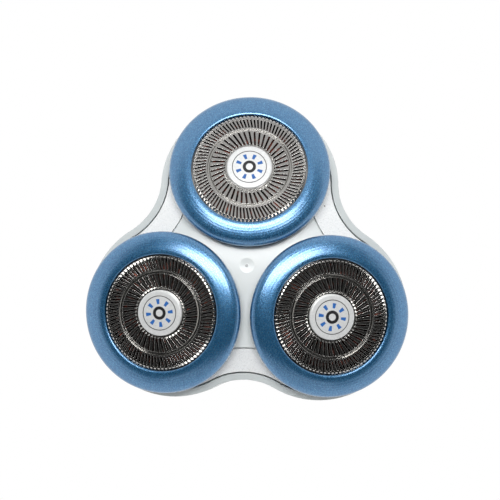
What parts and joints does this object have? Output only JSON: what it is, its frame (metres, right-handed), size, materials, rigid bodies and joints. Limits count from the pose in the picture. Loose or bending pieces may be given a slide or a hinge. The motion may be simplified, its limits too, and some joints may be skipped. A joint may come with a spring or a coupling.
{
  "type": "rotary shaver head",
  "caption": "Rotary shaver head: slotted caps in flexing blue rings on a white trefoil holder, with gear-driven cutters and a round push-on neck.",
  "frame": {"origin": "centre of the neck's foot, on the drive axis", "axes": "+Z along the drive axis toward the caps, +Y toward the head that is uppermost in the picture, +X to the right"},
  "size_m": [0.0644, 0.0606, 0.027],
  "materials": {
    "white_shell": "gloss moulded",
    "pearl_panel": "pearl with fine flake",
    "blue_ring": "satin metallic blue",
    "cap_steel": "bright, ground tracks",
    "badge_silver": "satin",
    "cutter_steel": "ground",
    "small_steel": "bright",
    "grey_plastic": "matte moulded",
    "black_plastic": "matte moulded"
  },
  "bodies": {
    "base": {"base_shell": "white_shell", "gear_cover": "grey_plastic", "cover_screw_1": "small_steel", "cover_screw_2": "small_steel", "cover_screw_3": "small_steel"},
    "drive": {"drive_gear": "black_plastic"},
    "lid": {"top_frame": "pearl_panel", "centre_plate": "white_shell"},
    "gear_1": {"head_gear_1": "grey_plastic", "spindle_spring_1": "small_steel"},
    "spindle_1": {"spindle_1": "small_steel"},
    "carrier_1": {"carrier_1": "grey_plastic"},
    "ring_1": {"ring_1": "blue_ring", "retainer_1": "grey_plastic"},
    "cap_1": {"cap_1": "cap_steel", "badge_1": "badge_silver"},
    "cutter_1": {"cutter_1": "cutter_steel", "cutter_hub_1": "black_plastic"},
    "gear_2": {"head_gear_2": "grey_plastic", "spindle_spring_2": "small_steel"},
    "spindle_2": {"spindle_2": "small_steel"},
    "carrier_2": {"carrier_2": "grey_plastic"},
    "ring_2": {"ring_2": "blue_ring", "retainer_2": "grey_plastic"},
    "cap_2": {"cap_2": "cap_steel", "badge_2": "badge_silver"},
    "cutter_2": {"cutter_2": "cutter_steel", "cutter_hub_2": "black_plastic"},
    "gear_3": {"head_gear_3": "grey_plastic", "spindle_spring_3": "small_steel"},
    "spindle_3": {"spindle_3": "small_steel"},
    "carrier_3": {"carrier_3": "grey_plastic"},
    "ring_3": {"ring_3": "blue_ring", "retainer_3": "grey_plastic"},
    "cap_3": {"cap_3": "cap_steel", "badge_3": "badge_silver"},
    "cutter_3": {"cutter_3": "cutter_steel", "cutter_hub_3": "black_plastic"}
  },
  "joints": [
    {"name": "drive_spin", "type": "hinge", "parent": "base", "child": "drive", "pos_m": [0, 0, 0.0075], "axis": [0, 0, 1], "continuous": true},
    {"name": "holder_lift", "type": "slide", "parent": "base", "child": "lid", "axis": [0, 0, 1], "range_m": [0, 0.022]},
    {"name": "gear_spin_1", "type": "hinge", "parent": "base", "child": "gear_1", "pos_m": [0, 0.0186, 0.0075], "axis": [0, 0, 1], "continuous": true},
    {"name": "spindle_slide_1", "type": "slide", "parent": "gear_1", "child": "spindle_1", "axis": [0, 0, 1], "range_m": [-0.0008, 0.0006], "deforming": ["spindle_spring_1"]},
    {"name": "head_tilt_1", "type": "hinge", "parent": "lid", "child": "carrier_1", "pos_m": [0, 0.01, 0.01897], "axis": [-1, 0, 0], "range_deg": [-3, 4], "stiffness_Nm_per_rad": 0.2},
    {"name": "head_rock_1", "type": "hinge", "parent": "carrier_1", "child": "ring_1", "pos_m": [0, 0.01775, 0.01697], "axis": [0, 0.9681, -0.2504], "range_deg": [-4, 4], "stiffness_Nm_per_rad": 0.1},
    {"name": "cap_float_1", "type": "slide", "parent": "ring_1", "child": "cap_1", "axis": [0, 0.2504, 0.9681], "range_m": [-0.0005, 0], "stiffness_N_per_m": 400, "springref_m": 0.0005},
    {"name": "cutter_spin_1", "type": "hinge", "parent": "cap_1", "child": "cutter_1", "pos_m": [0, 0.01905, 0.022], "axis": [0, 0.2504, 0.9681], "continuous": true},
    {"name": "gear_spin_2", "type": "hinge", "parent": "base", "child": "gear_2", "pos_m": [-0.01611, -0.0093, 0.0075], "axis": [0, 0, 1], "continuous": true},
    {"name": "spindle_slide_2", "type": "slide", "parent": "gear_2", "child": "spindle_2", "axis": [0, 0, 1], "range_m": [-0.0008, 0.0006], "deforming": ["spindle_spring_2"]},
    {"name": "head_tilt_2", "type": "hinge", "parent": "lid", "child": "carrier_2", "pos_m": [-0.00866, -0.005, 0.01897], "axis": [0.5, -0.866, 0], "range_deg": [-3, 4], "stiffness_Nm_per_rad": 0.2},
    {"name": "head_rock_2", "type": "hinge", "parent": "carrier_2", "child": "ring_2", "pos_m": [-0.01537, -0.00887, 0.01697], "axis": [-0.8384, -0.4841, -0.2504], "range_deg": [-4, 4], "stiffness_Nm_per_rad": 0.1},
    {"name": "cap_float_2", "type": "slide", "parent": "ring_2", "child": "cap_2", "axis": [-0.2168, -0.1252, 0.9681], "range_m": [-0.0005, 0], "stiffness_N_per_m": 400, "springref_m": 0.0005},
    {"name": "cutter_spin_2", "type": "hinge", "parent": "cap_2", "child": "cutter_2", "pos_m": [-0.0165, -0.00953, 0.022], "axis": [-0.2168, -0.1252, 0.9681], "continuous": true},
    {"name": "gear_spin_3", "type": "hinge", "parent": "base", "child": "gear_3", "pos_m": [0.01611, -0.0093, 0.0075], "axis": [0, 0, 1], "continuous": true},
    {"name": "spindle_slide_3", "type": "slide", "parent": "gear_3", "child": "spindle_3", "axis": [0, 0, 1], "range_m": [-0.0008, 0.0006], "deforming": ["spindle_spring_3"]},
    {"name": "head_tilt_3", "type": "hinge", "parent": "lid", "child": "carrier_3", "pos_m": [0.00866, -0.005, 0.01897], "axis": [0.5, 0.866, 0], "range_deg": [-3, 4], "stiffness_Nm_per_rad": 0.2},
    {"name": "head_rock_3", "type": "hinge", "parent": "carrier_3", "child": "ring_3", "pos_m": [0.01537, -0.00887, 0.01697], "axis": [0.8384, -0.4841, -0.2504], "range_deg": [-4, 4], "stiffness_Nm_per_rad": 0.1},
    {"name": "cap_float_3", "type": "slide", "parent": "ring_3", "child": "cap_3", "axis": [0.2168, -0.1252, 0.9681], "range_m": [-0.0005, 0], "stiffness_N_per_m": 400, "springref_m": 0.0005},
    {"name": "cutter_spin_3", "type": "hinge", "parent": "cap_3", "child": "cutter_3", "pos_m": [0.0165, -0.00953, 0.022], "axis": [0.2168, -0.1252, 0.9681], "continuous": true}
  ],
  "couplings": [
    {"joint": "gear_spin_1", "follows": "drive_spin", "ratio": -1.2143},
    {"joint": "cutter_spin_1", "follows": "drive_spin", "ratio": -1.2143},
    {"joint": "spindle_slide_1", "follows": "head_tilt_1", "m_per_rad": -0.008601},
    {"joint": "gear_spin_2", "follows": "drive_spin", "ratio": -1.2143},
    {"joint": "cutter_spin_2", "follows": "drive_spin", "ratio": -1.2143},
    {"joint": "spindle_slide_2", "follows": "head_tilt_2", "m_per_rad": -0.008601},
    {"joint": "gear_spin_3", "follows": "drive_spin", "ratio": -1.2143},
    {"joint": "cutter_spin_3", "follows": "drive_spin", "ratio": -1.2143},
    {"joint": "spindle_slide_3", "follows": "head_tilt_3", "m_per_rad": -0.008601}
  ]
}
